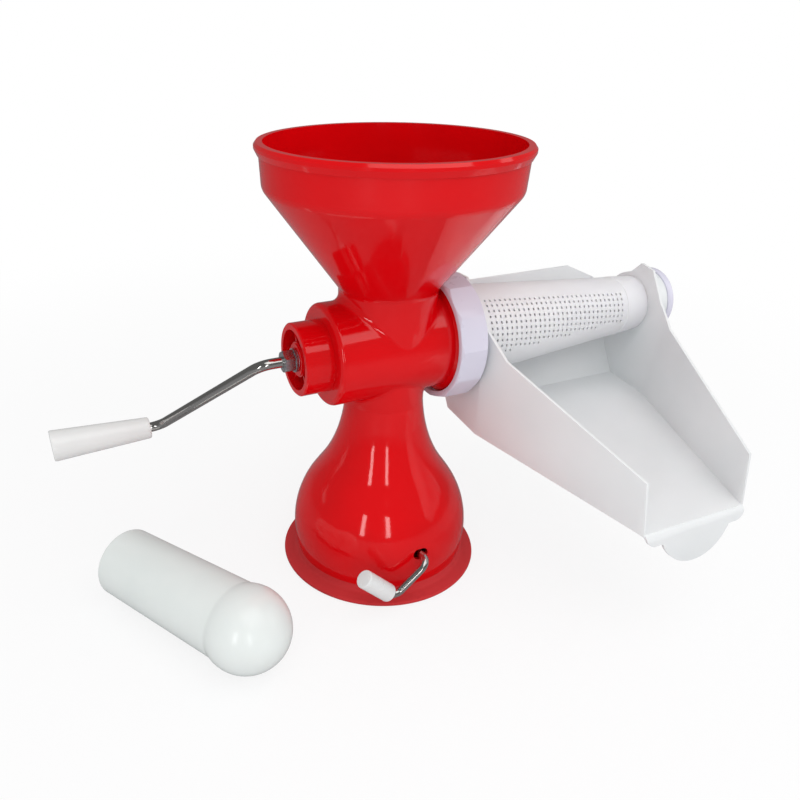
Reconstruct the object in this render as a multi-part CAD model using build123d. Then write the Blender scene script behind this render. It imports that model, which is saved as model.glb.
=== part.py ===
from build123d import *
import math
import os

# Hand cranked tomato strainer, millimetres.
# Frame: origin on the table at the middle of the suction foot, +Z up, +X along the
# barrel from the crank to the pulp outlet. The juice tray slopes down towards -Y.

# ---------------------------------------------------------------- driving sizes
AXIS_Z = 194.5          # height of the barrel, auger and strainer axis
WALL = 3.0              # wall of the red moulding
SEAT = 0.05             # radial clearance of a piece fastened on its own shaft or in its seat
RUN = 0.1               # radial clearance of a running fit
LOOSE = 0.3             # gap between faces that move past one another

# hopper
RIM_Z = 341.0
RIM_R = 95.0
LIP_H = 8.0             # height of the rolled lip
BAND_R = 92.0           # outside of the upright band under the lip
BAND_H = 29.4           # from the rim down to the foot of that band
BAND_Z = RIM_Z - BAND_H
SHOULDER_R = 9.0
CREASE_R = 5.0          # rounding between cone and neck
NECK_FILLET = 6.0       # rounding between neck and barrel
FOOT_FILLET = 5.0       # rounding between pedestal and barrel
END_R = 4.0             # rounded end of the barrel
HUB_EDGE = 1.0
NECK_R = 37.5
NECK_Z = 241.0          # crease between cone and neck

# barrel and hub
BARREL_R = 38.8
BORE_R = 35.5
BARREL_X0 = -55.0
BARREL_X1 = 54.0
COLLAR_X = 41.0         # where the threaded collar starts
COLLAR_R = 43.7
THREAD_H = 1.4
HUB_X = -77.0
HUB_R = 27.4
RECESS_R = 22.6
RECESS_X = -65.0        # floor of the recess in the hub's end
BOSS_R = 13.2
BOSS_X = -74.0
RIB_X = -72.0           # outer end of the ribs in the recess
RIB_T = 2.0
RIBS = 6
SEAL_X = -56.0          # step between the bush and the seal
BORE_END = -50.0        # inner end of the hub's bore

# pedestal: radius and height of the outline, from the straight neck down to the lower edge
PEDESTAL = [(31.5, 150.0), (34.6, 130.0), (40.4, 111.0), (50.6, 91.0),
            (63.0, 73.0), (71.2, 55.0), (74.8, 36.0), (74.6, 22.0), (73.0, 11.0)]
BELL_Z = 11.0
WEB_Y = 19.0            # webs inside the pedestal that carry the lever's shaft
WEB_T = 3.0
FLOOR_Z = 24.0          # cross floor inside the bell
FLOOR_T = 3.0
WEB_TOP = 58.0
INSIDE_TOP = 153.0      # top of the hollow inside the pedestal
LEVER_DOOR = (13.0, 9.0)  # opening in the bell's side that the lever comes out of

# suction foot
FOOT_R = 85.0
FOOT_EDGE = 3.4
STEP_R = 73.6
DIAPHRAGM_R = 52.0
STEM_R = 5.0
STEM_TOP = 30.0
BOSS_TOP = 13.0
PULLER_T = 3.0          # foot of the puller on the rubber boss
EYE_GAP = 0.45          # clearance of the cam in the puller's eye

# lever
LEVER_Z = 41.5
LEVER_R = 3.25
THROW = 2.5             # eccentricity of the cam on the lever's shaft
CAM_R = 6.5
CAM_T = 10.0
LEVER_TURN = 120.0      # degrees from released to locked
LEVER_Y = -86.0
LEVER_TAIL_Y = 26.0     # end of the shaft behind the rear web
LEVER_ELBOW = (-29.0, 16.0)  # (x, z) of the lever's lower bend
LEVER_END = (-52.0, 39.0)
KNOB_AT = (-34.6, 21.6)
LEVER_BEND = 8.0
KNOB_R = 7.5
KNOB_L = 32.0
KNOB_BORE = 26.0

# drive
SHAFT_R = 7.5
BUSH_R = 10.2
SEAL_R = 12.0
SHAFT_X0 = -76.0
INSERT_R = 5.6
INSERT_X1 = -57.0
ROD_R = 4.0
ROD_X1 = -60.0          # threaded end of the crank rod, inside the insert
ROD_BEND = 16.0
PIN_END_X = -240.0      # end of the pin inside the grip
NUT_FLATS = 15.0
NUT_H = 8.4
WASHER_R = 9.0
WASHER_T = 1.6
CRANK_R = 110.0         # from the barrel axis to the grip axis
CRANK_DEG = -43.0       # direction of the crank arm about +X, from +Y
BEND_X = -103.0
ARM_END_X = -168.0
GRIP_X0 = -176.0
GRIP_X1 = -254.0
GRIP_R0 = 8.9
GRIP_R1 = 12.6
GRIP_CAVITY = 60.0      # start of the wide hollow behind the grip's bearing
GRIP_CAVITY_R = 8.2
PLUG_T = 8.0
CLIP_T = 1.2            # push-on washers on the lever and on the pin

# auger
PITCH = 36.0
BLADE_T = 3.6
CORE_R0 = 13.0
CORE_R1 = 8.0
BARREL_TURNS = 3        # turns of the blade at full radius
SHOULDER_X = -52.0      # shoulder behind which the seal lies
AUGER_X0 = -49.0        # first edge of the blade
AUGER_X1 = 238.0
BLADE_GAP = 0.8         # between the blade and the wall round it

# strainer cone
GASKET_T = 2.0
FLANGE_T = 3.0
FLANGE_R = 42.0
CONE_X0 = BARREL_X1 + GASKET_T + FLANGE_T
CONE_R0 = 38.0
CONE_X1 = 245.6
CONE_R1 = 23.0
CONE_WALL = 1.6
SPIGOT_R = 22.0
SPIGOT_X1 = 268.0
PANEL_AT = (67.5, 187.5, 307.5)  # middle of each perforated panel, from the top towards -Y
ROW_STEP = 36.0         # degrees between the two rows of slots in a panel
SLOT_COLUMNS = 4
SLOT_X0 = 88.0
SLOT_X1 = 199.0
SLOT_L = 28.0
SLOT_W = 3.0

# ring nut and outlet ring
NUT_X0 = 38.6
NUT_X1 = 62.0
NUT_CORNER_R = 49.6
NUT_SIDES = 12
NUT_TURN = 25.0         # one corner, from the top towards -Y
OUTLET_X0 = 262.3
OUTLET_X1 = 268.3
OUTLET_R = 28.0

# juice tray, with side outlines given as (y, z)
TRAY_T = 2.2
TRAY_X0 = 64.9
TRAY_X1 = 245.2
TRAY_MID = (TRAY_X0 + TRAY_X1) / 2
MOUTH_W = 99.0          # outside width at the front
MOUTH_Y = -182.0        # top front corner of the side walls
MOUTH_Z = 145.0
BEND_Y = -39.0          # where the side walls start to close in
FRONT_Y = -190.0        # front edge of the floor at the walls
FLOOR_FRONT_Z = 104.5
FLOOR_RISE = 0.104      # slope of the floor
CREASE_Y = 4.0          # foot of the back wall
BACK_Y = 52.0           # where the slanted back wall turns upright
BACK_Z = 199.0
BACK_TOP_Z = 216.0
NEAR_EAR = [(31.0, 227.0), (9.0, 240.5), (-5.0, 240.5), (-60.0, 191.0)]
FAR_EAR = [(28.0, 206.5), (9.0, 216.5), (-6.0, 231.5), (-20.0, 229.0), (-37.0, 204.0), (-56.0, 189.5)]
LIP_Y = -191.5          # where the floor's front edge turns down
TONGUE_Y = -197.5       # lower end of the pouring lip
TONGUE_Z = 74.0
TONGUE_R = 35.0         # the lip's tongue is part of a disc seen from the front
TONGUE_MID_Z = 111.3
SHOULDER_Z = 97.0       # lower edge of the lip beside the tongue
LIP_BEND = 6.0
SLEEVE_R = 27.0         # collar round the cone's spigot
SLEEVE_X1 = 262.0

# pestle
BALL_R = 33.5
TAIL_R = 28.6           # tube's radius at the open end
TUBE_R = 31.0           # and where it meets the ball
PESTLE_WALL = 2.6
BALL_AT = (-153.3, -90.4)
TAIL_AT = (-217.4, 28.8)


# ---------------------------------------------------------------- helpers
def along_x(shape):
    """Turns a shape made round +Z so that its axis is the barrel axis along +X."""
    return Pos(0, 0, AXIS_Z) * Rot(0, 90, 0) * shape


def tube_x(x0, x1, outer, inner=0.0):
    """A cylinder or tube on the barrel axis from x0 to x1."""
    body = Pos(0, 0, (x0 + x1) / 2) * Cylinder(outer, abs(x1 - x0))
    if inner > 0:
        body -= Pos(0, 0, (x0 + x1) / 2) * Cylinder(inner, abs(x1 - x0) + 2)
    return along_x(body)


def cone_x(x0, x1, r0, r1):
    """A solid cone on the barrel axis, radius r0 at x0 and r1 at x1."""
    return along_x(Pos(0, 0, (x0 + x1) / 2) * Cone(r0, r1, x1 - x0))


def turned(points, about=Axis.Z):
    """Revolves a closed outline of (radius, height) points about +Z."""
    outline = make_face(Polyline(*[(r, 0, z) for r, z in points], close=True))
    return revolve(outline, about)


def cone_radius(x):
    """Outside radius of the strainer cone at x."""
    return CONE_R0 + (CONE_R1 - CONE_R0) * (x - CONE_X0) / (CONE_X1 - CONE_X0)


def crank_point(x, radius):
    """A point in the plane of the crank, at a distance from the barrel axis."""
    angle = math.radians(CRANK_DEG)
    return (x, radius * math.cos(angle), AXIS_Z + radius * math.sin(angle))


def ring_edge(body, radius, centre):
    """The body's round edge that is nearest to a radius and a centre."""
    return body.edges().filter_by(GeomType.CIRCLE).sort_by(
        lambda e: abs(e.radius - radius) + (e.arc_center - centre).length)[0]


def joint_edges(body, low, high):
    """Edges between z low and high where round bodies of different axes meet."""
    return [e for e in body.edges() if e.geom_type not in (GeomType.CIRCLE, GeomType.LINE)
            and low < e.center().Z < high]


# ---------------------------------------------------------------- red moulding
def hopper_solid():
    """Outside of the hopper: lip, band, rounded shoulder and cone down to the neck."""
    band_in = BAND_R - 1.0
    outline = [(0, AXIS_Z), (NECK_R, AXIS_Z), (NECK_R, NECK_Z), (band_in, BAND_Z),
               (BAND_R, RIM_Z - LIP_H), (RIM_R - 2, RIM_Z - LIP_H),
               (RIM_R, RIM_Z - LIP_H + 4), (RIM_R, RIM_Z - 2), (RIM_R - 1.6, RIM_Z), (0, RIM_Z)]
    body = turned(outline)
    body = fillet(ring_edge(body, band_in, Vector(0, 0, BAND_Z)), SHOULDER_R)
    return fillet(ring_edge(body, NECK_R, Vector(0, 0, NECK_Z)), CREASE_R)


def hopper_hollow():
    """Inside of the hopper and of its neck, down to the barrel axis."""
    inside = BAND_R - WALL
    outline = [(0, AXIS_Z), (NECK_R - WALL, AXIS_Z), (NECK_R - WALL, NECK_Z + 1.4),
               (inside - 1, BAND_Z - 3), (inside, RIM_Z + 1), (0, RIM_Z + 1)]
    return turned(outline)


def pedestal_solid(inset):
    """The pedestal's outline moved in by a wall and turned about the upright axis."""
    points = [(r - inset, 0, z) for r, z in PEDESTAL]
    top = points[0]
    foot = points[-1]
    side = Spline(*points)
    rest = Polyline(foot, (0, 0, foot[2]), (0, 0, AXIS_Z), (top[0], 0, AXIS_Z), top)
    return revolve(make_face(side + rest), Axis.Z)


def housing():
    """Hopper, neck, barrel, hub and hollow pedestal in one moulding."""
    body = hopper_solid() + tube_x(BARREL_X0, BARREL_X1, BARREL_R) + pedestal_solid(0)
    body += tube_x(HUB_X, BARREL_X0, HUB_R)
    body = fillet(joint_edges(body, AXIS_Z, NECK_Z - CREASE_R), NECK_FILLET)
    body = fillet(joint_edges(body, AXIS_Z - BARREL_R - 2, AXIS_Z), FOOT_FILLET)
    body = fillet(ring_edge(body, BARREL_R, Vector(BARREL_X0, 0, AXIS_Z)), END_R)
    body = chamfer(ring_edge(body, HUB_R, Vector(HUB_X, 0, AXIS_Z)), HUB_EDGE)
    body += cone_x(COLLAR_X - 2, COLLAR_X, BARREL_R, COLLAR_R - THREAD_H)
    body += tube_x(COLLAR_X, BARREL_X1, COLLAR_R - THREAD_H)
    body += [tube_x(x, x + 2.4, COLLAR_R) for x in (COLLAR_X + 2, COLLAR_X + 7)]

    bore = tube_x(SHOULDER_X - 0.4, BARREL_X1 + 1, BORE_R)
    recess = tube_x(HUB_X - 1, RECESS_X, RECESS_R)
    inside = pedestal_solid(WALL) + Pos(0, 0, BELL_Z) * Cylinder(PEDESTAL[-1][0] - WALL, 2)
    inside &= Pos(0, 0, INSIDE_TOP / 2) * Box(200, 200, INSIDE_TOP)
    body -= [hopper_hollow(), bore, recess, inside]

    boss = tube_x(BOSS_X, RECESS_X + 1, BOSS_R)
    rib_l = RECESS_X + 1 - RIB_X
    rib = Pos(0, 0, RIB_X + rib_l / 2) * Box(RIB_T, 2 * RECESS_R + 1, rib_l)
    ribs = [along_x(Rot(0, 0, 360 / RIBS * n) * rib) for n in range(RIBS // 2)]
    web = Pos(0, 0, (FLOOR_Z + WEB_TOP) / 2) * Box(200, WEB_T, WEB_TOP - FLOOR_Z)
    webs = [Pos(0, side * WEB_Y, 0) * web for side in (-1, 1)]
    floor = Pos(0, 0, FLOOR_Z + FLOOR_T / 2) * Box(200, 200, FLOOR_T)
    within = pedestal_solid(WALL / 2)
    body += [boss] + ribs + [(plate & within) for plate in webs] + [floor & within]

    body -= tube_x(HUB_X - 1, BORE_END, BUSH_R + SEAT)
    body -= tube_x(SEAL_X, BORE_END, SEAL_R + SEAT)
    body -= Pos(0, 0, FLOOR_Z) * Cylinder(STEM_R + RUN, 20)
    body -= Pos(0, 0, LEVER_Z) * Rot(90, 0, 0) * Cylinder(LEVER_R + RUN, 60)
    door = extrude(SlotOverall(*LEVER_DOOR), 12, both=True)
    return body - Pos(0, -70, LEVER_Z) * Rot(90, 0, 0) * door


# ---------------------------------------------------------------- suction foot
def suction_cup():
    """Rubber disc outside the moving middle: flat rim with a step under the bell."""
    return turned([(DIAPHRAGM_R, 2.2), (60, 1.0), (64, 0), (FOOT_R - 1, 0), (FOOT_R, 1.2),
                   (FOOT_R, FOOT_EDGE), (STEP_R + 1.6, 5.2), (STEP_R + 0.2, 6.4), (STEP_R - 1.2, BELL_Z),
                   (STEP_R - 6, BELL_Z), (STEP_R - 8, 7.0), (DIAPHRAGM_R, 5.4)])


def cup_diaphragm():
    """Thin domed middle of the rubber disc, with the boss that the stem pulls up."""
    return turned([(0, 2.2), (DIAPHRAGM_R, 2.2), (DIAPHRAGM_R, 5.4), (20, 7.0), (14, BOSS_TOP), (0, BOSS_TOP)])


def cup_stem():
    """Puller bolted to the rubber boss: foot, round stem and a slotted eye for the cam."""
    low_cam = LEVER_Z - THROW * math.sin(math.radians(LEVER_TURN / 2))
    foot = Pos(0, 0, BOSS_TOP + PULLER_T / 2) * Cylinder(12, PULLER_T)
    stem_z = BOSS_TOP + PULLER_T
    stem = Pos(0, 0, (stem_z + STEM_TOP) / 2) * Cylinder(STEM_R, STEM_TOP - stem_z)
    slot_h = 2 * (CAM_R + EYE_GAP)
    eye = Pos(0, 0, low_cam) * Box(2 * (CAM_R + THROW + 3.5), 8, slot_h + 6)
    eye = chamfer(eye.edges().filter_by(Axis.Y), 3)
    slot = Pos(-0.6, 0, low_cam) * Rot(90, 0, 0) * extrude(
        SlotOverall(2 * (CAM_R + THROW), slot_h), 10, both=True)
    return foot + stem + eye - slot


# ---------------------------------------------------------------- lever
def lever_rod():
    """Bent steel rod: shaft through the pedestal, cam in the middle, cranked handle outside."""
    tail = (0, LEVER_TAIL_Y, LEVER_Z)
    corner = (0, LEVER_Y, LEVER_Z)
    elbow = (LEVER_ELBOW[0], LEVER_Y, LEVER_ELBOW[1])
    reach = (LEVER_END[0], LEVER_Y, LEVER_END[1])
    path = FilletPolyline(tail, corner, elbow, reach, radius=LEVER_BEND)
    rod = sweep(Plane(origin=tail, z_dir=(0, -1, 0)) * Circle(LEVER_R), path=path)
    down = math.radians(180 + LEVER_TURN / 2)
    cam_at = Pos(THROW * math.cos(down), 0, LEVER_Z + THROW * math.sin(down))
    return rod + cam_at * Rot(90, 0, 0) * Cylinder(CAM_R, CAM_T)


def knob_axis():
    """Place and direction of the knob on the lever's last leg."""
    return Plane(origin=(KNOB_AT[0], LEVER_Y, KNOB_AT[1]), z_dir=(-1, 0, 1))


def lever_knob():
    """White cap pushed on the end of the lever."""
    body = chamfer(Cylinder(KNOB_R, KNOB_L, align=(Align.CENTER, Align.CENTER, Align.MIN)).edges(), 1.0)
    bore = Cylinder(LEVER_R + SEAT, KNOB_BORE, align=(Align.CENTER, Align.CENTER, Align.MIN))
    return knob_axis() * (body - Pos(0, 0, -0.5) * bore)


def lever_clip():
    """Push-on washer behind the rear web."""
    ring = Cylinder(7.0, CLIP_T) - Cylinder(LEVER_R + SEAT, 3)
    return Pos(0, WEB_Y + WEB_T / 2 + LOOSE + CLIP_T / 2, LEVER_Z) * Rot(90, 0, 0) * ring


# ---------------------------------------------------------------- drive
def shaft_bush():
    """Plain bush pressed in the hub, with a collar outside."""
    sleeve = tube_x(BOSS_X, SEAL_X, BUSH_R, SHAFT_R + RUN)
    return sleeve + tube_x(BOSS_X - CLIP_T, BOSS_X, SEAL_R, SHAFT_R + RUN)


def shaft_seal():
    """Rubber seal between the hub and the auger's shoulder."""
    return tube_x(SEAL_X, SHOULDER_X - LOOSE, SEAL_R, SHAFT_R + RUN)


def screw_blade(height, outer):
    """A left-handed blade round +Z from 0 to height, of constant outside radius."""
    root = 6.0
    turns = Edge.make_helix(PITCH, height, 20.0, lefthand=True)
    start = Plane(origin=(0, 0, 0), x_dir=(1, 0, 0), z_dir=(0, -1, 0))
    section = start * Pos((outer + root) / 2, 0) * Rectangle(outer - root, BLADE_T)
    return sweep(section, path=turns, is_frenet=True)


def auger():
    """Screw with a drive shaft, a tapering core and a blade that follows barrel and cone."""
    outer = BORE_R - BLADE_GAP
    tip = cone_radius(AUGER_X1) - CONE_WALL - BLADE_GAP
    straight = BARREL_TURNS * PITCH
    rest = AUGER_X1 - AUGER_X0 - straight
    taper = Pos(0, 0, rest / 2) * Cone(outer + 0.2, tip - 0.2, rest + 6)
    barrel_blade = Pos(0, 0, AUGER_X0) * screw_blade(straight, outer)
    cone_blade = Pos(0, 0, AUGER_X0 + straight) * (screw_blade(rest, outer + 5) & taper)
    core = turned([(0, SHAFT_X0), (SHAFT_R, SHAFT_X0), (SHAFT_R, SHOULDER_X), (CORE_R0, SHOULDER_X),
                   (CORE_R0, AUGER_X0), (CORE_R1, AUGER_X1 + 3), (CORE_R1 - 1, AUGER_X1 + 3),
                   (CORE_R1 - 3, AUGER_X1 + 8), (0, AUGER_X1 + 8)])
    socket = Pos(0, 0, (SHAFT_X0 + INSERT_X1) / 2) * Cylinder(INSERT_R + SEAT, INSERT_X1 - SHAFT_X0)
    return along_x(core + barrel_blade + cone_blade - socket)


def drive_insert():
    """Threaded brass insert moulded in the auger's shaft."""
    return tube_x(SHAFT_X0, INSERT_X1, INSERT_R, ROD_R + SEAT)


def crank_rod():
    """Steel rod bent into a Z: threaded end, slanted arm and the pin of the grip."""
    points = [crank_point(ROD_X1, 0), crank_point(BEND_X, 0),
              crank_point(ARM_END_X, CRANK_R), crank_point(PIN_END_X, CRANK_R)]
    path = FilletPolyline(*points, radius=ROD_BEND)
    return sweep(Plane(origin=points[0], z_dir=(-1, 0, 0)) * Circle(ROD_R), path=path)


def crank_washer():
    """Steel washer on the end of the auger's shaft."""
    return tube_x(SHAFT_X0 - WASHER_T, SHAFT_X0, WASHER_R, ROD_R + SEAT)


def crank_nut():
    """Hexagon nut that locks the crank rod, chamfered at its outer face."""
    hexagon = RegularPolygon(NUT_FLATS / 2, 6, major_radius=False)
    x1 = SHAFT_X0 - WASHER_T
    body = Pos(0, 0, x1 - NUT_H) * extrude(hexagon, NUT_H)
    corner = NUT_FLATS / 2 / math.cos(math.pi / 6)
    chamfer_cone = Pos(0, 0, x1 - NUT_H / 2) * Cone(corner - 1.0, corner + NUT_H - 1.0, NUT_H)
    return along_x((body & chamfer_cone) - Pos(0, 0, x1 - NUT_H / 2) * Cylinder(ROD_R + SEAT, NUT_H + 2))


def on_grip(shape):
    """Places a shape made along +Z from 0 so that it runs outwards along the grip axis."""
    x, y, z = crank_point(GRIP_X0, CRANK_R)
    return Pos(x, y, z) * Rot(0, -90, 0) * shape


def crank_grip():
    """Tapered hollow grip that turns on the rod's pin."""
    length = GRIP_X0 - GRIP_X1
    body = turned([(0, 0), (GRIP_R0 - 0.6, 0), (GRIP_R0, 0.6), (GRIP_R1 - 0.2, length - 6),
                   (GRIP_R1, length - 2), (GRIP_R1 - 0.8, length), (0, length)])
    body -= Pos(0, 0, length / 2) * Cylinder(ROD_R + RUN, length + 2)
    cavity = Cylinder(GRIP_CAVITY_R, length, align=(Align.CENTER, Align.CENTER, Align.MIN))
    body -= Pos(0, 0, GRIP_CAVITY) * cavity
    return on_grip(body)


def grip_washer():
    """Push-on washer that holds the grip on the rod."""
    at = GRIP_CAVITY + LOOSE + CLIP_T / 2
    return on_grip(Pos(0, 0, at) * (Cylinder(7.6, CLIP_T) - Cylinder(ROD_R + SEAT, 3)))


def grip_plug():
    """Plug that closes the grip's free end."""
    length = GRIP_X0 - GRIP_X1
    return on_grip(Pos(0, 0, length - PLUG_T / 2) * Cylinder(GRIP_CAVITY_R - SEAT, PLUG_T))


# ---------------------------------------------------------------- strainer
def strainer_cone():
    """Perforated cone with its clamping flange and the open spigot at the pulp end."""
    outside = cone_x(CONE_X0, CONE_X1, CONE_R0, CONE_R1)
    inside = cone_x(CONE_X0, CONE_X1, CONE_R0 - CONE_WALL, CONE_R1 - CONE_WALL)
    shell = outside - inside
    shell += tube_x(CONE_X0 - FLANGE_T, CONE_X0, FLANGE_R, CONE_R0 - CONE_WALL)
    shell += tube_x(CONE_X1, SPIGOT_X1, SPIGOT_R, CONE_R1 - CONE_WALL - 1.6)
    step = (SLOT_X1 - SLOT_X0) / (SLOT_COLUMNS - 1)
    cutters = []
    for angle in [middle + turn * ROW_STEP for middle in PANEL_AT for turn in (-0.5, 0.5)]:
        for x in [SLOT_X0 + column * step for column in range(SLOT_COLUMNS)]:
            place = Pos(x, 0, AXIS_Z) * Rot(angle, 0, 0) * Pos(0, 0, cone_radius(x) - 1)
            cutters.append(place * Box(SLOT_L, SLOT_W, 12))
    return shell - cutters


def cone_gasket():
    """Flat rubber ring between the barrel's end and the cone's flange."""
    return tube_x(BARREL_X1, BARREL_X1 + GASKET_T, FLANGE_R - 0.5, BORE_R)


def ring_nut():
    """Twelve-sided nut that clamps the cone on the barrel."""
    prism = extrude(RegularPolygon(NUT_CORNER_R, NUT_SIDES, rotation=NUT_TURN), NUT_X1 - NUT_X0)
    body = along_x(Pos(0, 0, NUT_X0) * prism)
    front = cone_x(NUT_X0, NUT_X0 + 6, NUT_CORNER_R - 2, NUT_CORNER_R + 4)
    rear = cone_x(NUT_X1 - 6, NUT_X1, NUT_CORNER_R + 4, NUT_CORNER_R - 2)
    body &= front + tube_x(NUT_X0 + 6, NUT_X1 - 6, NUT_CORNER_R + 4) + rear
    body -= tube_x(NUT_X0 - 1, CONE_X0, COLLAR_R + RUN)
    return body - tube_x(NUT_X0, NUT_X1 + 1, CONE_R0 + 0.4)


def outlet_ring():
    """Ring screwed on the spigot that keeps the tray on the cone."""
    return tube_x(OUTLET_X0, OUTLET_X1, OUTLET_R, SPIGOT_R + SEAT)


# ---------------------------------------------------------------- juice tray
def prism_side(points, x0, x1):
    """Extrudes an outline of (y, z) points along +X."""
    face = make_face(Polyline(*[(x0, y, z) for y, z in points], close=True))
    return extrude(face, x1 - x0, dir=(1, 0, 0))


def prism_plan(points, z0, z1):
    """Extrudes an outline of (x from the tray's middle, y) points along +Z."""
    face = make_face(Polyline(*[(TRAY_MID + x, y, z0) for x, y in points], close=True))
    return extrude(face, z1 - z0, dir=(0, 0, 1))


def floor_z(y):
    """Underside of the tray's floor at y."""
    return FLOOR_FRONT_Z + FLOOR_RISE * (y - FRONT_Y)


def tray_plan(inset, front):
    """Half outline of the tray seen from above, mirrored to the full outline."""
    half = (TRAY_X1 - TRAY_X0) / 2 - inset
    mouth = MOUTH_W / 2 - inset
    right = [(half, 60), (half, BEND_Y), (mouth, MOUTH_Y), (mouth - 1.8, front)]
    return right + [(-x, y) for x, y in reversed(right)]


def pouring_lip():
    """Front edge of the floor, bent down, with a round tongue in the middle."""
    half = TRAY_T / 2
    start = (TRAY_MID, MOUTH_Y, floor_z(MOUTH_Y) + half)
    bend = (TRAY_MID, LIP_Y, floor_z(LIP_Y) + half)
    path = FilletPolyline(start, bend, (TRAY_MID, TONGUE_Y, TONGUE_Z), radius=LIP_BEND)
    sheet = sweep(Plane(origin=start, x_dir=(1, 0, 0), z_dir=(0, -1, 0)) * Rectangle(MOUTH_W, TRAY_T), path=path)
    wide = MOUTH_W - 2 * TRAY_T
    height = 3 * TONGUE_R
    front = Pos(0, SHOULDER_Z + height / 2) * RectangleRounded(wide, height, 9)
    front += Pos(0, TONGUE_MID_Z) * Circle(TONGUE_R)
    view = Plane(origin=(TRAY_MID, MOUTH_Y - 1, 0), x_dir=(1, 0, 0), z_dir=(0, -1, 0))
    return sheet & extrude(view * front, 2 * (MOUTH_Y - TONGUE_Y))


def tray():
    """Sloping chute with side walls, ears round the cone, back wall and a pouring lip."""
    base = [(MOUTH_Y, MOUTH_Z), (FRONT_Y, floor_z(FRONT_Y)), (CREASE_Y, floor_z(CREASE_Y)),
            (BACK_Y, BACK_Z), (BACK_Y + 4, BACK_TOP_Z)]
    rear = [(BACK_Y + 4 - TRAY_T, BACK_TOP_Z), (BACK_Y - TRAY_T, BACK_Z + 3)]
    high = 2 * AXIS_Z
    outer = Part()
    for ear, x0, x1 in ((NEAR_EAR, TRAY_X0, TRAY_MID), (FAR_EAR, TRAY_MID, TRAY_X1)):
        outer += prism_side(base + rear + ear, x0, x1)
    outer &= prism_plan(tray_plan(0, FRONT_Y), 0, high)

    slant = (BACK_Z - floor_z(CREASE_Y)) / (BACK_Y - CREASE_Y)
    inner_crease = CREASE_Y - TRAY_T * (math.hypot(1, slant) - 1) / slant
    run_out = FRONT_Y - 20
    inside = [(run_out, high), (run_out, floor_z(run_out) + TRAY_T),
              (inner_crease, floor_z(inner_crease) + TRAY_T), (BACK_Y - TRAY_T, BACK_Z),
              (BACK_Y + 4 - TRAY_T, BACK_TOP_Z), (BACK_Y + 4 - TRAY_T, high)]
    hollow = prism_side(inside, TRAY_X0, TRAY_X1) & prism_plan(tray_plan(TRAY_T, run_out), 0, high)
    body = outer - hollow

    body += pouring_lip()

    for end, sign in ((TRAY_X0, 1), (TRAY_X1, -1)):
        top = BACK_TOP_Z + 2
        corner = make_face(Polyline((end - sign, BACK_Y + 5, BACK_Z + 4), (end + sign * 33, BACK_Y + 5, top),
                                    (end - sign, BACK_Y + 5, top), close=True))
        body -= extrude(corner, 4.9 + TRAY_T, dir=(0, -1, 0))
    body += tube_x(TRAY_X1 - TRAY_T, SLEEVE_X1, SLEEVE_R)
    body -= tube_x(TRAY_X1 - 8, SLEEVE_X1 + 1, cone_radius(TRAY_X1 - TRAY_T) + LOOSE)
    return body - tube_x(TRAY_X0 - 1, TRAY_X0 + 8, cone_radius(TRAY_X0) + LOOSE)


# ---------------------------------------------------------------- pestle
def pestle():
    """Hollow pusher: open tube with a ball end, lying on the table beside the foot."""
    dx = BALL_AT[0] - TAIL_AT[0]
    dy = BALL_AT[1] - TAIL_AT[1]
    reach = math.hypot(dx, dy)
    up = (Align.CENTER, Align.CENTER, Align.MIN)
    ball = Pos(0, 0, reach) * Sphere(BALL_R)
    tube = Cone(TAIL_R, TUBE_R, reach, align=up)
    hollow = Cone(TAIL_R - PESTLE_WALL, TUBE_R - PESTLE_WALL, reach, align=up)
    hollow += Cylinder(TAIL_R - PESTLE_WALL, 2) + Pos(0, 0, reach) * Sphere(TUBE_R - PESTLE_WALL)
    tilt = math.degrees(math.asin((BALL_R - TAIL_R) / reach))
    heading = math.degrees(math.atan2(dy, dx))
    lie = Pos(TAIL_AT[0], TAIL_AT[1], TAIL_R) * Rot(0, 0, heading) * Rot(0, 90 - tilt, 0)
    return lie * (ball + tube - hollow)


NODES = {
    "housing": housing,
    "suction_cup": suction_cup,
    "cup_diaphragm": cup_diaphragm,
    "cup_stem": cup_stem,
    "lever_rod": lever_rod,
    "lever_knob": lever_knob,
    "lever_clip": lever_clip,
    "shaft_bush": shaft_bush,
    "shaft_seal": shaft_seal,
    "auger": auger,
    "drive_insert": drive_insert,
    "crank_rod": crank_rod,
    "crank_washer": crank_washer,
    "crank_nut": crank_nut,
    "crank_grip": crank_grip,
    "grip_washer": grip_washer,
    "grip_plug": grip_plug,
    "strainer_cone": strainer_cone,
    "cone_gasket": cone_gasket,
    "ring_nut": ring_nut,
    "outlet_ring": outlet_ring,
    "juice_tray": tray,
    "pestle": pestle,
}


def main():
    os.makedirs("parts", exist_ok=True)
    for name, make in NODES.items():
        shape = make()
        solids = shape.solids()
        if len(solids) != 1:
            print("WARNING", name, "has", len(solids), "solids")
        export_step(shape, f"parts/{name}.step")
        print(name, round(shape.volume))


if __name__ == "__main__":
    main()
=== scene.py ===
"""Looks of a hand cranked tomato strainer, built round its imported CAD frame."""
import logging
import math
from dataclasses import dataclass
from enum import Enum

import bmesh
import bpy
import numpy as np
from mathutils import Matrix, Vector


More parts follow.
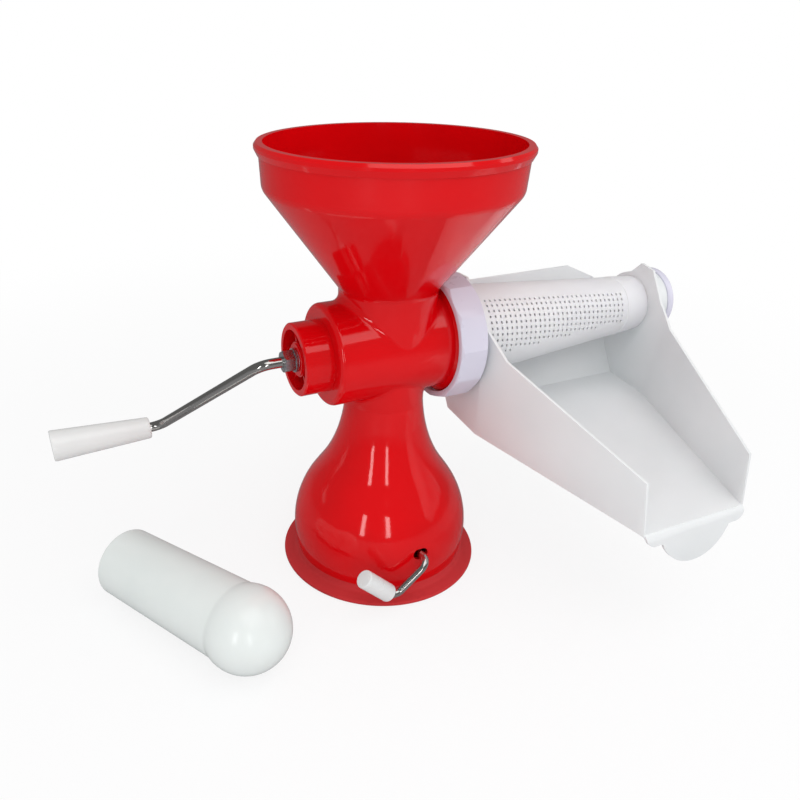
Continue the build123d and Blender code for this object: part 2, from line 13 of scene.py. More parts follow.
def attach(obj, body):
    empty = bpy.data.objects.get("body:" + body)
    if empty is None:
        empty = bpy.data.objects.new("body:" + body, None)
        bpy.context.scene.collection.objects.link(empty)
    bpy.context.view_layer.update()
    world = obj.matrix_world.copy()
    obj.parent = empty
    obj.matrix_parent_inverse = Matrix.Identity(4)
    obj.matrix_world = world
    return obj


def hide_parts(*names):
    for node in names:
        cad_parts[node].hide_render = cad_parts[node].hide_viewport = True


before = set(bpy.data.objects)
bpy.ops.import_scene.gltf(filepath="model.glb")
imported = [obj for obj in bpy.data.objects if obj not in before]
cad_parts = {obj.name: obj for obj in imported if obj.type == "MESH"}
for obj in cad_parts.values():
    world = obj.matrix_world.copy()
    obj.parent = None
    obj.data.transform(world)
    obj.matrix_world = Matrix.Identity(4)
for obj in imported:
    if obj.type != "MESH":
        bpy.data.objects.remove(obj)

LOG = logging.getLogger("strainer")
MM = 0.001
# Height of the barrel's axis in millimetres, and a third of a turn round it.
AXIS_Z = 194.5
THIRD_TURN = math.radians(120.0)
# Sockets of the Mix node for colours and for numbers.
MIX_COLOUR_A, MIX_COLOUR_B, MIX_COLOUR_OUT = 6, 7, 2
MIX_NUMBER_A, MIX_NUMBER_B = 2, 3
# Noise scales, each one over the size of a grain in metres.
CLOUD_SCALE, FLOW_SCALE, WEAR_SCALE, SKIN_SCALE = 14.0, 38.0, 90.0, 1400.0
PATCH_SCALE, GRAIN_SCALE = 55.0, 900.0
# Depth of the grain on bare metal in metres.
GRAIN_DEPTH = 0.00001
# Most of a side that one rounded corner may take.
CORNER_REACH = 0.49
# Points closer than this many metres are merged, in made pieces and in CAD ones.
MERGE_NEW, MERGE_CAD = 0.000002, 0.00001
WHITE = (1.0, 1.0, 1.0, 1.0)


# ------------------------------------------------------------------ shader maths
class Value:
    """A number socket whose Python operators add Math nodes."""

    def __init__(self, shader: "Shader", socket: bpy.types.NodeSocket) -> None:
        """Keeps the socket and the shader that it belongs to."""
        self.shader = shader
        self.socket = socket

    def _math(self, operation: str, first: object, second: object) -> "Value":
        """Adds one Math node and returns its result."""
        return self.shader.add("ShaderNodeMath", {"operation": operation}, {0: first, 1: second})

    def __add__(self, other: object) -> "Value":
        """Sum of two values."""
        return self._math("ADD", self, other)

    def __radd__(self, other: object) -> "Value":
        """Sum with a plain number on the left."""
        return self._math("ADD", other, self)

    def __mul__(self, other: object) -> "Value":
        """Product of two values."""
        return self._math("MULTIPLY", self, other)

    def __rmul__(self, other: object) -> "Value":
        """Product with a plain number on the left."""
        return self._math("MULTIPLY", other, self)

    def between(self, low: float, high: float) -> "Value":
        """Brings a value of 0 to 1 into the span from low to high."""
        return self * (high - low) + low

    def step(self, low: float, high: float) -> "Value":
        """Smooth step from 0 at low to 1 at high."""
        return self.shader.add(
            "ShaderNodeMapRange",
            {"interpolation_type": "SMOOTHSTEP"},
            {"Value": self, "From Min": low, "From Max": high},
        )


class Shader:
    """Node tree of a material or of the world, with a single method that adds nodes."""

    def __init__(self, owner: bpy.types.ID, output: str) -> None:
        """Empties the owner's node tree and gives it an output.

        Args:
            owner: the material or the world.
            output: type of its output node.
        """
        owner.use_nodes = True
        self.owner = owner
        self.tree = owner.node_tree
        self.tree.nodes.clear()
        self.output = self.tree.nodes.new(output)

    @classmethod
    def for_material(cls, name: str) -> "Shader":
        """Starts the tree of a new material."""
        return cls(bpy.data.materials.new(name), "ShaderNodeOutputMaterial")

    def add(self, kind: str, settings: dict, inputs: dict, out: object = 0) -> Value:
        """Adds a node.

        Args:
            kind: type of the node.
            settings: its properties, which are set first.
            inputs: sockets by name or number, each with a plain value or a Value.
            out: name or number of the output that is returned.

        Returns:
            The chosen output, wrapped.
        """
        node = self.tree.nodes.new(kind)
        for key, value in settings.items():
            setattr(node, key, value)
        for key, value in inputs.items():
            if isinstance(value, Value):
                self.tree.links.new(value.socket, node.inputs[key])
            else:
                node.inputs[key].default_value = value
        return Value(self, node.outputs[out])

    def place(self) -> Value:
        """Object coordinates."""
        return self.add("ShaderNodeTexCoord", {}, {}, "Object")

    def noise(self, spot: Value, scale: float, detail: float, rough: float = 0.5) -> Value:
        """Noise of 0 to 1 with grains of one over scale metres."""
        inputs = {"Vector": spot, "Scale": scale, "Detail": detail, "Roughness": rough}
        return self.add("ShaderNodeTexNoise", {}, inputs)

    def blend(self, amount: object, first: object, second: object) -> Value:
        """Mix of two colours."""
        inputs = {"Factor": amount, MIX_COLOUR_A: first, MIX_COLOUR_B: second}
        return self.add("ShaderNodeMix", {"data_type": "RGBA"}, inputs, MIX_COLOUR_OUT)

    def mix(self, amount: object, first: object, second: object) -> Value:
        """Mix of two numbers."""
        inputs = {"Factor": amount, MIX_NUMBER_A: first, MIX_NUMBER_B: second}
        return self.add("ShaderNodeMix", {}, inputs)

    def ray(self, kind: str) -> Value:
        """1 for the rays that the kind names and 0 for all others."""
        return self.add("ShaderNodeLightPath", {}, {}, kind)

    def bump(self, height: Value, depth: float, under: Value | None = None) -> Value:
        """Normal of a height field of 0 to 1 that is depth metres deep, laid over another."""
        inputs = {"Height": height, "Distance": depth}
        if under is not None:
            inputs["Normal"] = under
        return self.add("ShaderNodeBump", {}, inputs, "Normal")

    def solid(self, inputs: dict) -> Value:
        """Adds the surface shader that every finish uses."""
        return self.add("ShaderNodeBsdfPrincipled", {}, inputs)

    def close(self, surface: Value) -> bpy.types.ID:
        """Joins a surface shader to the output and returns the material or world."""
        self.tree.links.new(surface.socket, self.output.inputs["Surface"])
        return self.owner


def srgb(red: int, green: int, blue: int) -> tuple[float, float, float, float]:
    """Linear colour of three display values.

    The display curve is v / 12.92 up to 0.04045, and ((v + 0.055) / 1.055) ^ 2.4 above.

    Args:
        red: red, 0 to 255.
        green: green, 0 to 255.
        blue: blue, 0 to 255.

    Returns:
        The colour with an alpha of 1.
    """
    parts = np.array([red, green, blue]) / 255.0
    line = np.where(parts <= 0.04045, parts / 12.92, ((parts + 0.055) / 1.055) ** 2.4)
    return (*(float(v) for v in line), 1.0)


# ------------------------------------------------------------------ finishes
@dataclass(frozen=True)
class Moulded:
    """Moulded plastic or rubber: a little uneven in colour and gloss, with a faint ripple.

    Fields give the colour, a second colour that clouds it, the roughness span, how deep
    the ripple and the fine skin are in metres, how much light scatters inside, and the
    specular level.
    """

    name: str
    colour: tuple[float, float, float, float]
    cloud: tuple[float, float, float, float]
    rough: tuple[float, float]
    ripple: float = 0.00004
    skin: float = 0.000002
    inner: float = 0.0
    gloss: float = 0.5

    def build(self) -> bpy.types.Material:
        """Makes the node material.

        Returns:
            The material.
        """
        shader = Shader.for_material(self.name)
        spot = shader.place()
        cloud = shader.noise(spot, CLOUD_SCALE, 3.0)
        flow = shader.noise(spot, FLOW_SCALE, 1.0)
        skin = shader.noise(spot, SKIN_SCALE, 2.0)
        wear = shader.noise(spot, WEAR_SCALE, 4.0, 0.6)
        rippled = shader.bump(flow, self.ripple)
        inputs = {
            "Base Color": shader.blend(cloud.step(0.35, 0.7), self.colour, self.cloud),
            "Roughness": (cloud * 0.5 + wear * 0.5).step(0.3, 0.7).between(*self.rough),
            "Normal": shader.bump(skin, self.skin, rippled),
            "Specular IOR Level": self.gloss,
        }
        if self.inner:
            inputs["Subsurface Weight"] = self.inner
            inputs["Subsurface Radius"] = (0.004, 0.004, 0.0045)
            inputs["Subsurface Scale"] = 1.0
        return shader.close(shader.solid(inputs))


@dataclass(frozen=True)
class Metal:
    """Bare metal, finely grained, with a few darker patches."""

    name: str
    colour: tuple[float, float, float, float]
    dark: tuple[float, float, float, float]
    rough: tuple[float, float]

    def build(self) -> bpy.types.Material:
        """Makes the node material.

        Returns:
            The material.
        """
        shader = Shader.for_material(self.name)
        spot = shader.place()
        fine = shader.noise(spot, GRAIN_SCALE, 3.0)
        patch = shader.noise(spot, PATCH_SCALE, 4.0, 0.6)
        inputs = {
            "Base Color": shader.blend(patch.step(0.45, 0.75) * 0.6, self.colour, self.dark),
            "Roughness": (fine * 0.6 + patch * 0.4).step(0.3, 0.7).between(*self.rough),
            "Metallic": 1.0,
            "Normal": shader.bump(fine, GRAIN_DEPTH),
        }
        return shader.close(shader.solid(inputs))


class Finish(Enum):
    """Every finish that a piece can have."""

    GLOSS_RED = Moulded("gloss_red", srgb(214, 4, 12), srgb(206, 3, 10), (0.06, 0.11))
    RED_RUBBER = Moulded(
        "red_rubber", srgb(220, 26, 34), srgb(212, 20, 28), (0.42, 0.55), skin=0.00002)
    TRAY_WHITE = Moulded(
        "tray_white", srgb(226, 228, 229), srgb(221, 224, 225), (0.30, 0.42), inner=0.1)
    CONE_WHITE = Moulded(
        "cone_white", srgb(228, 228, 232), srgb(223, 223, 228), (0.30, 0.42), inner=0.6)
    LILAC_WHITE = Moulded(
        "lilac_white", srgb(212, 210, 225), srgb(209, 207, 222), (0.26, 0.32), ripple=0.00001)
    PLAIN_WHITE = Moulded(
        "plain_white", srgb(222, 223, 223), srgb(218, 220, 220), (0.2, 0.3), inner=0.1)
    GRIP_WHITE = Moulded(
        "grip_white", srgb(227, 228, 227), srgb(223, 225, 224), (0.16, 0.22), inner=0.1)
    PESTLE_WHITE = Moulded(
        "pestle_white", srgb(225, 230, 228), srgb(219, 225, 223), (0.2, 0.26), inner=0.1)
    STEEL = Metal("steel", srgb(186, 186, 188), srgb(120, 120, 124), (0.14, 0.28))
    ZINC = Metal("zinc", srgb(200, 201, 204), srgb(150, 151, 156), (0.2, 0.36))
    BRASS = Metal("brass", srgb(206, 172, 96), srgb(160, 128, 62), (0.2, 0.34))
    SEAL_RUBBER = Moulded(
        "seal_rubber", srgb(206, 206, 204), srgb(196, 196, 194), (0.5, 0.65), skin=0.00002)

    @property
    def material(self) -> bpy.types.Material:
        """The finish's material, made once."""
        return bpy.data.materials.get(self.value.name) or self.value.build()


# ------------------------------------------------------------------ meshes
def mesh_piece(
    name: str, points: np.ndarray, faces: list, finish: Finish, sharp: float = 35.0
) -> bpy.types.Object:
    """Makes a piece from points in millimetres and faces.

    Args:
        name: the piece's name.
        points: array of shape (n, 3).
        faces: lists of point numbers.
        finish: its finish.
        sharp: edges that turn by more than this many degrees stay sharp.

    Returns:
        The new object, at the origin.
    """
    mesh = bpy.data.meshes.new(name)
    mesh.from_pydata((points * MM).tolist(), [], faces)
    work = bmesh.new()
    work.from_mesh(mesh)
    bmesh.ops.remove_doubles(work, verts=work.verts, dist=MERGE_NEW)
    bmesh.ops.recalc_face_normals(work, faces=work.faces)
    work.to_mesh(mesh)
    work.free()
    mesh.shade_smooth()
    mesh.set_sharp_from_angle(angle=math.radians(sharp))
    piece = bpy.data.objects.new(name, mesh)
    bpy.context.scene.collection.objects.link(piece)
    mesh.materials.append(finish.material)
    return piece


def grid_faces(rows: int, columns: int) -> np.ndarray:
    """Quads of a grid that closes on itself both ways.

    Args:
        rows: points along the outline.
        columns: points round the axis.

    Returns:
        Array of shape (rows * columns, 4) of point numbers.
    """
    r, c = np.meshgrid(np.arange(rows), np.arange(columns), indexing="ij")
    down = (r + 1) % rows
    side = (c + 1) % columns
    corners = [r * columns + c, down * columns + c, down * columns + side, r * columns + side]
    return np.stack([k.ravel() for k in corners], axis=1)


def rounded(corners: list[tuple[float, float, float]], steps: int = 5) -> np.ndarray:
    """Rounds the corners of a closed outline.

    Each corner is replaced by a parabola between two points that lie its own size away
    on the two sides: p(t) = (1-t)^2 a + 2t(1-t) corner + t^2 b.

    Args:
        corners: (radius, height, size) of each corner, size 0 for a sharp one.
        steps: points on each rounding.

    Returns:
        The outline as an array of (radius, height).
    """
    spots = np.array([c[:2] for c in corners])
    sizes = np.array([c[2] for c in corners])
    before = np.roll(spots, 1, axis=0) - spots
    after = np.roll(spots, -1, axis=0) - spots
    span_b, span_a = np.hypot(*before.T), np.hypot(*after.T)
    reach_b = np.minimum(sizes, CORNER_REACH * span_b)
    reach_a = np.minimum(sizes, CORNER_REACH * span_a)
    first = spots + before / span_b[:, None] * reach_b[:, None]
    last = spots + after / span_a[:, None] * reach_a[:, None]
    t = np.linspace(0.0, 1.0, steps)[None, :, None]
    middle = 2 * t * (1 - t) * spots[:, None]
    curve = (1 - t) ** 2 * first[:, None] + middle + t ** 2 * last[:, None]
    keep = np.ones(curve.shape[:2], bool)
    keep[sizes == 0, 1:] = False
    return curve[keep]


def lathe(
    name: str,
    outline: np.ndarray,
    origin: tuple[float, float, float],
    axis: tuple[float, float, float],
    finish: Finish,
    sides: int = 96,
) -> bpy.types.Object:
    """Turns a closed outline about an axis.

    A point is origin + height * axis + radius * (cos(a) u + sin(a) v), with u and v
    square to the axis and a going once round.

    Args:
        name: the piece's name.
        outline: array of (radius, height).
        origin: where height is 0, in millimetres.
        axis: direction of the height.
        finish: the piece's finish.
        sides: steps round the axis.

    Returns:
        The new piece.
    """
    along = np.array(Vector(axis).normalized())
    across = np.array(Vector(axis).orthogonal().normalized())
    third = np.cross(along, across)
    turn = np.linspace(0.0, 2 * math.pi, sides, endpoint=False)
    ring = np.cos(turn)[:, None] * across + np.sin(turn)[:, None] * third
    points = np.array(origin) + outline[:, None, 1:] * along + outline[:, None, :1] * ring[None]
    faces = grid_faces(len(outline), sides).tolist()
    return mesh_piece(name, points.reshape(-1, 3), faces, finish)


def softened(node: str, name: str, finish: Finish, width: float) -> bpy.types.Object:
    """A copy of a CAD node with its edges rounded.

    Args:
        node: the CAD node that the piece replaces.
        name: the piece's name.
        finish: its finish.
        width: width of the rounded edges in millimetres, on edges that turn over 30 degrees.

    Returns:
        The new piece.
    """
    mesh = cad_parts[node].data.copy()
    mesh.name = name
    mesh.materials.clear()
    work = bmesh.new()
    work.from_mesh(mesh)
    bmesh.ops.remove_doubles(work, verts=work.verts, dist=MERGE_CAD)
    flat = math.radians(1.0)
    bmesh.ops.dissolve_limit(work, angle_limit=flat, verts=work.verts, edges=work.edges)
    work.to_mesh(mesh)
    work.free()
    mesh.shade_smooth()
    piece = bpy.data.objects.new(name, mesh)
    bpy.context.scene.collection.objects.link(piece)
    mesh.materials.append(finish.material)
    bevel = piece.modifiers.new("round_edges", "BEVEL")
    bevel.width = width * MM
    bevel.segments = 3
    bevel.limit_method = "ANGLE"
    bevel.angle_limit = math.radians(30.0)
    bevel.harden_normals = True
    bevel.use_clamp_overlap = True
    return piece


# ------------------------------------------------------------------ sub-assemblies
@dataclass
class StrainerCone:
    """Perforated cone with three panels of small holes, a flange and an open spigot.

    x0, r0, x1 and r1 are its two ends. The panels run from panel_x0 to panel_x1. A hole is
    hole_x along the axis and hole_s round it. lead is the arc from the cone's top to a
    panel's first edge, panel_end the angle of its last, and hole_gap the arc kept there.
    """

    x0: float = 59.0
    r0: float = 38.0
    x1: float = 245.6
    r1: float = 23.0
    wall: float = 1.6
    panel_x0: float = 71.5
    panel_x1: float = 215.5
    columns: int = 30
    row_pitch: float = 4.65
    hole_x: float = 1.55
    hole_s: float = 2.05
    lead: float = 18.6
    panel_end: float = 105.5
    panel_starts: tuple[float, ...] = (0.0, 120.0, 240.0)
    hole_gap: float = 0.8
    plain_lines: int = 12

    def radius(self, x: np.ndarray) -> np.ndarray:
        """Outside radius, straight from r0 at x0 to r1 at x1."""
        return self.r0 + (self.r1 - self.r0) * (x - self.x0) / (self.x1 - self.x0)

    def profile(self) -> tuple[np.ndarray, np.ndarray]:
        """Closed outline of the turned shell.

        Returns:
            The (x, radius) points, and for each the number of its hole column's line or -1.
        """
        pitch = (self.panel_x1 - self.panel_x0) / self.columns
        starts = self.panel_x0 + pitch * (np.arange(self.columns) + 0.5) - self.hole_x / 2
        lines = np.sort(np.concatenate([starts, starts + self.hole_x]))
        inner_r = self.radius(lines) - self.wall
        flange = [
            (56.0, 36.4), (56.0, 41.6), (56.4, 42.0), (58.6, 42.0),
            (59.0, 41.6), (59.0, 38.3), (59.6, 37.95),
        ]
        band_r = self.radius(220.0)
        band = [(219.5, self.radius(219.5)), (220.0, band_r + 0.45), (245.2, 23.4), (245.6, 23.0)]
        spigot = [
            (246.0, 22.0), (267.6, 22.0), (268.0, 21.6),
            (268.0, 20.2), (267.6, 19.8), (245.6, 19.8),
        ]
        back = [(245.2, 21.4), (220.0, band_r - self.wall)]
        front = [(60.0, 36.3), (56.3, 36.4)]
        outside = np.stack([lines, self.radius(lines)], axis=1)
        inside = np.stack([lines, inner_r], axis=1)[::-1]
        points = np.vstack([flange, outside, band, spigot, back, inside, front])
        tags = np.full(len(points), -1)
        first = len(flange)
        tags[first:first + len(lines)] = np.arange(len(lines))
        second = first + len(lines) + len(band) + len(spigot) + len(back)
        tags[second:second + len(lines)] = np.arange(len(lines))[::-1]
        return points, tags

    def build(self) -> bpy.types.Object:
        """Makes the shell.

        The surface is the outline carried round the barrel axis. In each panel the lines
        across the outline lie at fixed lengths of arc from a line on the cone's top, so rows
        are level and end where the cone gets too narrow for them. A cell that is a hole
        is left out of both skins, and four walls join the skins there.

        Returns:
            The new piece.
        """
        points, tags = self.profile()
        last = math.radians(self.panel_end)
        reach = self.r0 * last - self.lead
        rows = int(reach / self.row_pitch)
        starts = self.row_pitch * (np.arange(rows) + 0.5) - self.hole_s / 2
        marks = np.sort(np.concatenate([[0.0], starts, starts + self.hole_s, [reach]]))
        radii = self.radius(np.clip(points[:, 0], self.panel_x0, self.panel_x1))
        limit = radii * last - self.lead
        arcs = np.minimum(marks[None, :], limit[:, None])
        panel = (self.lead + arcs) / radii[:, None]
        smooth = np.linspace(0.0, 1.0, self.plain_lines)[1:-1]
        plain = last + smooth[None, :] * (THIRD_TURN + self.lead / radii[:, None] - last)
        turns = []
        for start in self.panel_starts:
            turns += [math.radians(start) + panel, math.radians(start) + plain]
        angle = np.concatenate(turns, axis=1)
        per_panel = len(marks) + len(smooth)
        count = angle.shape[1]
        x = np.repeat(points[:, :1], count, axis=1)
        r = np.repeat(points[:, 1:], count, axis=1)
        spots = np.stack([x, -r * np.sin(angle), AXIS_Z + r * np.cos(angle)], axis=-1)
        quads = grid_faces(len(points), count)
        line = np.repeat(tags, count)
        follow = np.repeat(np.roll(tags, -1), count)
        low = np.minimum(line, follow)
        column_cell = (low >= 0) & (low % 2 == 0) & (np.abs(line - follow) == 1)
        mark = np.tile(np.arange(count) % per_panel, len(points))
        row_cell = (mark % 2 == 1) & (mark < 2 * rows)
        far = np.append(marks, np.full(len(smooth), np.inf))
        ends = far[np.minimum(mark + 1, per_panel - 1)]
        room = np.repeat(np.minimum(limit, np.roll(limit, -1)), count)
        fits = ends + self.hole_gap < room
        hole = column_cell & row_cell & fits
        faces = quads[~hole].tolist()
        faces += self.hole_walls(quads[hole], tags, count)
        return mesh_piece("perforated_cone", spots.reshape(-1, 3), faces, Finish.CONE_WHITE, 30.0)

    @staticmethod
    def hole_walls(cells: np.ndarray, tags: np.ndarray, count: int) -> list:
        """Four walls for each pair of hole cells on the outer and the inner skin.

        Args:
            cells: corner numbers of the hole cells of both skins.
            tags: the hole line of each point of the outline.
            count: points in each ring.

        Returns:
            Quads that join the same hole's edges on the two skins.
        """
        half = len(tags) // 2
        partner = {}
        for row, tag in enumerate(tags):
            if tag >= 0:
                partner.setdefault(int(tag), []).append(row)
        across = np.arange(len(tags))
        for rows in partner.values():
            across[rows[0]], across[rows[1]] = rows[1], rows[0]
        outer = cells[cells[:, 0] // count < half]
        ring, turn = outer // count, outer % count
        inner = across[ring] * count + turn
        walls = []
        for k in range(4):
            after = (k + 1) % 4
            sides = [outer[:, k], outer[:, after], inner[:, after], inner[:, k]]
            walls.append(np.stack(sides, axis=1))
        return np.concatenate(walls).tolist()


@dataclass
class Crank:
    """The crank's tapered grip. Rod, nut and washers are shown as they are in CAD."""

    arm: float = 110.0
    slant: float = -43.0
    grip_x: float = -176.0
    length: float = 78.0
    near_r: float = 8.9
    far_r: float = 12.6
    bore_r: float = 4.15
    cavity: float = 60.0
    cavity_r: float = 8.2

    def grip(self) -> bpy.types.Object:
        """The grip: a taper with a rounded shoulder at each end and a ring at the open one.

        Returns:
            The new piece.
        """
        end = self.length
        outline = rounded([
            (self.bore_r, 0.0, 0.4),
            (self.near_r - 0.3, 0.0, 1.3),
            (self.near_r, 2.0, 0.8),
            (self.far_r - 0.1, end - 3.0, 1.5),
            (self.far_r, end, 1.4),
            (self.cavity_r, end, 0.4),
            (self.cavity_r, self.cavity, 0.3),
            (self.bore_r, self.cavity, 0.3),
        ])
        angle = math.radians(self.slant)
        origin = (self.grip_x, self.arm * math.cos(angle), AXIS_Z + self.arm * math.sin(angle))
        return lathe("grip_moulding", outline, origin, (-1, 0, 0), Finish.GRIP_WHITE)


@dataclass
class SuctionFoot:
    """Rubber foot outside its moving middle, and the cap on its lever."""

    edge_r: float = 85.0
    step_r: float = 73.6
    middle_r: float = 52.0
    bell_z: float = 11.0
    knob_at: tuple[float, float, float] = (-34.6, -86.0, 21.6)
    knob_r: float = 7.5
    knob_l: float = 32.0
    knob_bore_r: float = 3.3
    knob_bore_l: float = 25.5

    def flange(self) -> bpy.types.Object:
        """The rubber disc with a thin rim and a seat for the bell.

        Returns:
            The new piece.
        """
        outline = rounded([
            (self.middle_r, 2.2, 0.0),
            (60.0, 1.0, 1.0),
            (64.0, 0.0, 1.0),
            (self.edge_r - 0.8, 0.0, 0.5),
            (self.edge_r, 1.4, 0.8),
            (self.edge_r - 0.3, 3.4, 1.0),
            (self.step_r + 1.6, 5.2, 2.0),
            (self.step_r + 0.2, 6.6, 0.8),
            (self.step_r - 1.2, self.bell_z, 0.0),
            (self.step_r - 6.0, self.bell_z, 0.0),
            (self.step_r - 8.0, 7.0, 1.0),
            (self.middle_r, 5.4, 0.0),
        ])
        return lathe("suction_flange", outline, (0, 0, 0), (0, 0, 1), Finish.RED_RUBBER, 160)

    def knob(self) -> bpy.types.Object:
        """The cap: a plain round end and a blind bore for the rod.

        Returns:
            The new piece.
        """
        outline = rounded([
            (self.knob_bore_r, 0.0, 0.2),
            (self.knob_r, 0.0, 1.3),
            (self.knob_r, self.knob_l, 1.6),
            (0.0, self.knob_l, 0.0),
            (0.0, self.knob_bore_l, 0.0),
            (self.knob_bore_r, self.knob_bore_l, 0.2),
        ])
        return lathe("lever_cap", outline, self.knob_at, (-1, 0, 1), Finish.PLAIN_WHITE, 72)


@dataclass
class Pestle:
    """Hollow pusher: a slightly tapered open tube with a ball end."""

    tail: tuple[float, float] = (-217.4, 28.8)
    ball: tuple[float, float] = (-153.3, -90.4)
    tail_r: float = 28.6
    neck_r: float = 31.0
    ball_r: float = 33.5
    wall: float = 2.6

    def build(self) -> bpy.types.Object:
        """The pusher.

        The ball is a circle round the axis, r = sqrt(R^2 - (h - reach)^2); where it leaves
        the tube the two lines are joined by a short even step of the radius.

        Returns:
            The new piece.
        """
        dx, dy = self.ball[0] - self.tail[0], self.ball[1] - self.tail[1]
        reach = math.hypot(dx, dy)
        dome = np.linspace(math.radians(20.0), math.radians(90.0), 30)
        meet = reach - math.sqrt(self.ball_r ** 2 - self.neck_r ** 2)
        swell = np.linspace(0.0, 1.0, 9)[1:-1]
        start = math.asin((meet - reach) / self.ball_r)
        sphere = np.linspace(start + 0.06, math.pi / 2, 40)
        ball = [self.ball_r * np.cos(sphere), reach + self.ball_r * np.sin(sphere)]
        outside = np.stack(ball, axis=1)
        lead = np.array([self.neck_r - 0.02, meet - 1.6])
        blend = lead + (outside[0] - lead) * np.stack([swell ** 1.6, swell], axis=1)
        tube_in = self.neck_r - self.wall
        inside = np.stack([tube_in * np.sin(dome), reach + tube_in * np.cos(dome)], axis=1)
        mouth_in = self.tail_r - self.wall
        mouth = rounded([
            (mouth_in, 3.0, 0.0),
            (mouth_in, 0.0, 0.8),
            (self.tail_r, 0.0, 0.9),
            (self.tail_r, 3.0, 0.0),
        ])
        top = np.array([[0.0, reach + self.ball_r], [0.0, reach + tube_in]])
        outline = np.vstack([mouth, lead[None], blend, outside[:-1], top, inside])
        tilt = math.asin((self.ball_r - self.tail_r) / reach)
        axis = (dx / reach * math.cos(tilt), dy / reach * math.cos(tilt), math.sin(tilt))
        origin = (*self.tail, self.tail_r)
        return lathe("pestle_moulding", outline, origin, axis, Finish.PESTLE_WHITE, 120)


@dataclass(frozen=True)
class Studio:
    """Camera, surroundings, floor and lamps. Sizes are metres.

    daylight and mirrored_light are the surroundings' strength as a light and in
    reflections. glow_span is where the floor's glow for the camera rises from glow_near to 1.
    """

    eye: tuple[float, float, float] = (-0.257132, -0.477455, 0.414954)
    heading: float = -24.591
    pitch: float = 31.982
    roll: float = 0.406
    lens: float = 33.3
    shift: tuple[float, float] = (0.0751, 0.0900)
    aim: tuple[float, float, float] = (0.0, 0.0, 0.18)
    daylight: float = 0.74
    mirrored_light: float = 0.16
    floor_reach: float = 40.0
    floor_z: float = -0.0004
    floor_colour: tuple[float, ...] = (0.86, 0.86, 0.87, 1.0)
    mirrored_colour: tuple[float, ...] = (0.3, 0.3, 0.31, 1.0)
    glow_span: tuple[float, float] = (0.3, 1.1)
    glow_near: float = 0.82

    def camera(self) -> None:
        """Puts the camera where the photograph was taken from.

        Heading turns it about the upright axis, pitch tips it down and roll turns the picture.
        """
        a, e, r = (math.radians(v) for v in (self.heading, self.pitch, self.roll))
        back = Vector((math.sin(a) * math.cos(e), -math.cos(a) * math.cos(e), math.sin(e)))
        right = Vector((math.cos(a), math.sin(a), 0.0))
        up = back.cross(right)
        turned_right = right * math.cos(r) + up * math.sin(r)
        turned_up = up * math.cos(r) - right * math.sin(r)
        camera = bpy.data.objects.new("camera", bpy.data.cameras.new("camera"))
        bpy.context.scene.collection.objects.link(camera)
        turn = Matrix((turned_right, turned_up, back)).transposed().to_4x4()
        camera.matrix_world = Matrix.Translation(self.eye) @ turn
        camera.data.lens = self.lens
        camera.data.sensor_width = 36.0
        camera.data.shift_x, camera.data.shift_y = self.shift
        camera.data.clip_start = 0.01
        bpy.context.scene.camera = camera

    def lamp(self, name: str, at: tuple, size: tuple[float, float], watts: float) -> None:
        """Adds an area lamp that looks at the object's middle.

        Args:
            name: the lamp's name.
            at: where it stands.
            size: its width and height.
            watts: its power.
        """
        light = bpy.data.lights.new(name, "AREA")
        light.shape = "RECTANGLE"
        light.size, light.size_y = size
        light.energy = watts
        lamp = bpy.data.objects.new(name, light)
        bpy.context.scene.collection.objects.link(lamp)
        lamp.location = at
        lamp.rotation_euler = (Vector(self.aim) - Vector(at)).to_track_quat("-Z", "Y").to_euler()

    def world(self) -> None:
        """White surroundings for the camera, dimmer as a light and darker in reflections."""
        world = bpy.data.worlds.new("tent")
        bpy.context.scene.world = world
        shader = Shader(world, "ShaderNodeOutputWorld")
        light = shader.mix(shader.ray("Is Glossy Ray"), self.daylight, self.mirrored_light)
        level = shader.mix(shader.ray("Is Camera Ray"), light, 1.0)
        shader.close(shader.add("ShaderNodeBackground", {}, {"Color": WHITE, "Strength": level}))

    def floor(self) -> None:
        """A floor that shows near white to the camera and keeps the object's shadow.

        It is pale as a light and darker in reflections. The share of glow that the camera
        sees is a smooth step of the distance from the middle.
        """
        far = self.floor_reach
        mesh = bpy.data.meshes.new("floor")
        corners = [(-far, -far, 0.0), (far, -far, 0.0), (far, far, 0.0), (-far, far, 0.0)]
        mesh.from_pydata(corners, [], [(0, 1, 2, 3)])
        floor = bpy.data.objects.new("floor", mesh)
        bpy.context.scene.collection.objects.link(floor)
        floor.location.z = self.floor_z
        shader = Shader.for_material("pale_floor")
        mirrored = shader.ray("Is Glossy Ray")
        colour = shader.blend(mirrored, self.floor_colour, self.mirrored_colour)
        plain = shader.solid({"Base Color": colour, "Roughness": 0.7, "Specular IOR Level": 0.2})
        glow = shader.add("ShaderNodeEmission", {}, {"Color": WHITE, "Strength": 1.0})
        length = {"operation": "LENGTH"}
        away = shader.add("ShaderNodeVectorMath", length, {0: shader.place()}, "Value")
        share = away.step(*self.glow_span).between(self.glow_near, 1.0)
        amount = shader.ray("Is Camera Ray") * share
        seen = shader.add("ShaderNodeMixShader", {}, {0: amount, 1: plain, 2: glow})
        mesh.materials.append(shader.close(seen))

    def build(self) -> None:
        """Makes the whole studio."""
        self.camera()
        self.world()
        self.floor()
        self.lamp("window_left", (-1.02, -0.92, 0.46), (0.15, 0.62), 1.9)
        self.lamp("window_right", (-0.38, -1.34, 0.46), (0.12, 0.62), 1.5)
        self.lamp("ceiling", (0.15, -0.7, 1.5), (1.4, 1.4), 8.5)
        self.lamp("side", (1.3, -0.5, 0.8), (0.9, 0.9), 2.6)
        bpy.context.scene.view_settings.view_transform = "Standard"


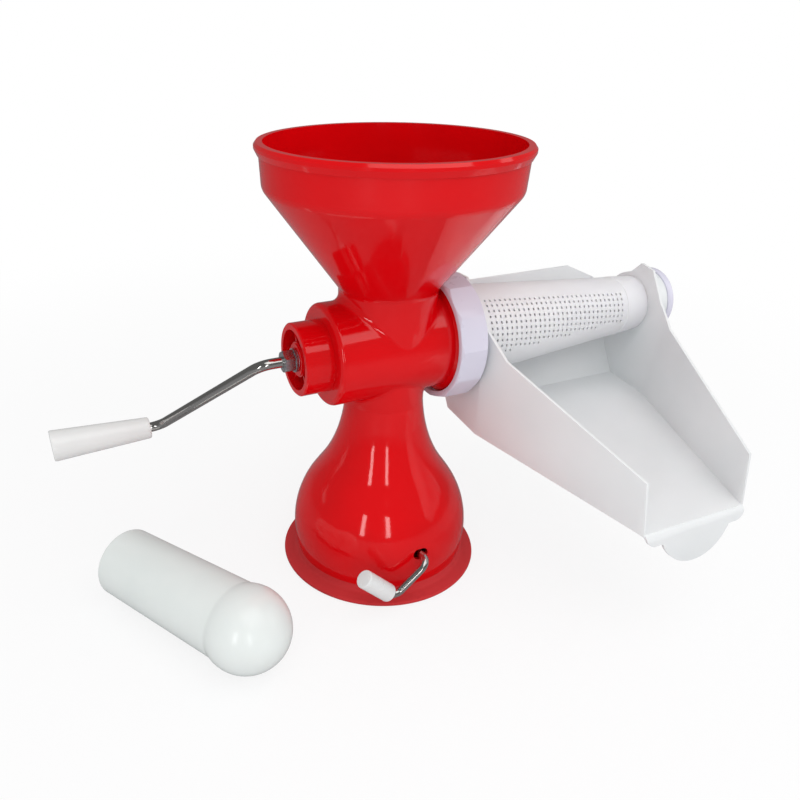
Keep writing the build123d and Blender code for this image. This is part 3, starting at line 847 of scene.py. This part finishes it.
CAD_FINISH = {
    "housing": Finish.GLOSS_RED,
    "suction_cup": Finish.RED_RUBBER,
    "cup_diaphragm": Finish.RED_RUBBER,
    "cup_stem": Finish.PLAIN_WHITE,
    "lever_rod": Finish.STEEL,
    "lever_knob": Finish.PLAIN_WHITE,
    "lever_clip": Finish.ZINC,
    "shaft_bush": Finish.GLOSS_RED,
    "shaft_seal": Finish.SEAL_RUBBER,
    "auger": Finish.LILAC_WHITE,
    "drive_insert": Finish.BRASS,
    "crank_rod": Finish.STEEL,
    "crank_washer": Finish.ZINC,
    "crank_nut": Finish.ZINC,
    "crank_grip": Finish.PLAIN_WHITE,
    "grip_washer": Finish.ZINC,
    "grip_plug": Finish.PLAIN_WHITE,
    "strainer_cone": Finish.TRAY_WHITE,
    "cone_gasket": Finish.SEAL_RUBBER,
    "ring_nut": Finish.LILAC_WHITE,
    "outlet_ring": Finish.LILAC_WHITE,
    "juice_tray": Finish.TRAY_WHITE,
    "pestle": Finish.PESTLE_WHITE,
}


def dress_frame() -> None:
    """Gives every CAD node its finish."""
    for node, finish in CAD_FINISH.items():
        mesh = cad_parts[node].data
        mesh.materials.clear()
        mesh.materials.append(finish.material)
        LOG.info("%s is %s", node, finish.value.name)


def stand_in(piece: bpy.types.Object, body: str, node: str) -> None:
    """Makes a piece ride on a body and replace a CAD node.

    Args:
        piece: the new piece.
        body: the body that carries it.
        node: the CAD node that it replaces.
    """
    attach(piece, body)
    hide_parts(node)
    LOG.info("%s replaces %s", piece.name, node)


def main() -> None:
    """Builds the studio, the finishes and the detailed pieces in order."""
    Studio().build()
    dress_frame()
    stand_in(StrainerCone().build(), "base", "strainer_cone")
    stand_in(Crank().grip(), "grip", "crank_grip")
    stand_in(SuctionFoot().flange(), "base", "suction_cup")
    stand_in(SuctionFoot().knob(), "lever", "lever_knob")
    stand_in(Pestle().build(), "loose_pestle", "pestle")
    for node, name, finish, width, slot in (
        ("juice_tray", "tray_moulding", Finish.TRAY_WHITE, 0.7, "tray_plastic"),
        ("ring_nut", "ring_nut_moulding", Finish.LILAC_WHITE, 0.8, "lilac_plastic"),
        ("outlet_ring", "outlet_ring_moulding", Finish.LILAC_WHITE, 0.8, "lilac_plastic"),
    ):
        stand_in(softened(node, name, finish, width), "base", node)


if __name__ == "__main__":
    logging.basicConfig(level=logging.INFO, format="%(message)s")
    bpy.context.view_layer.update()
    main()
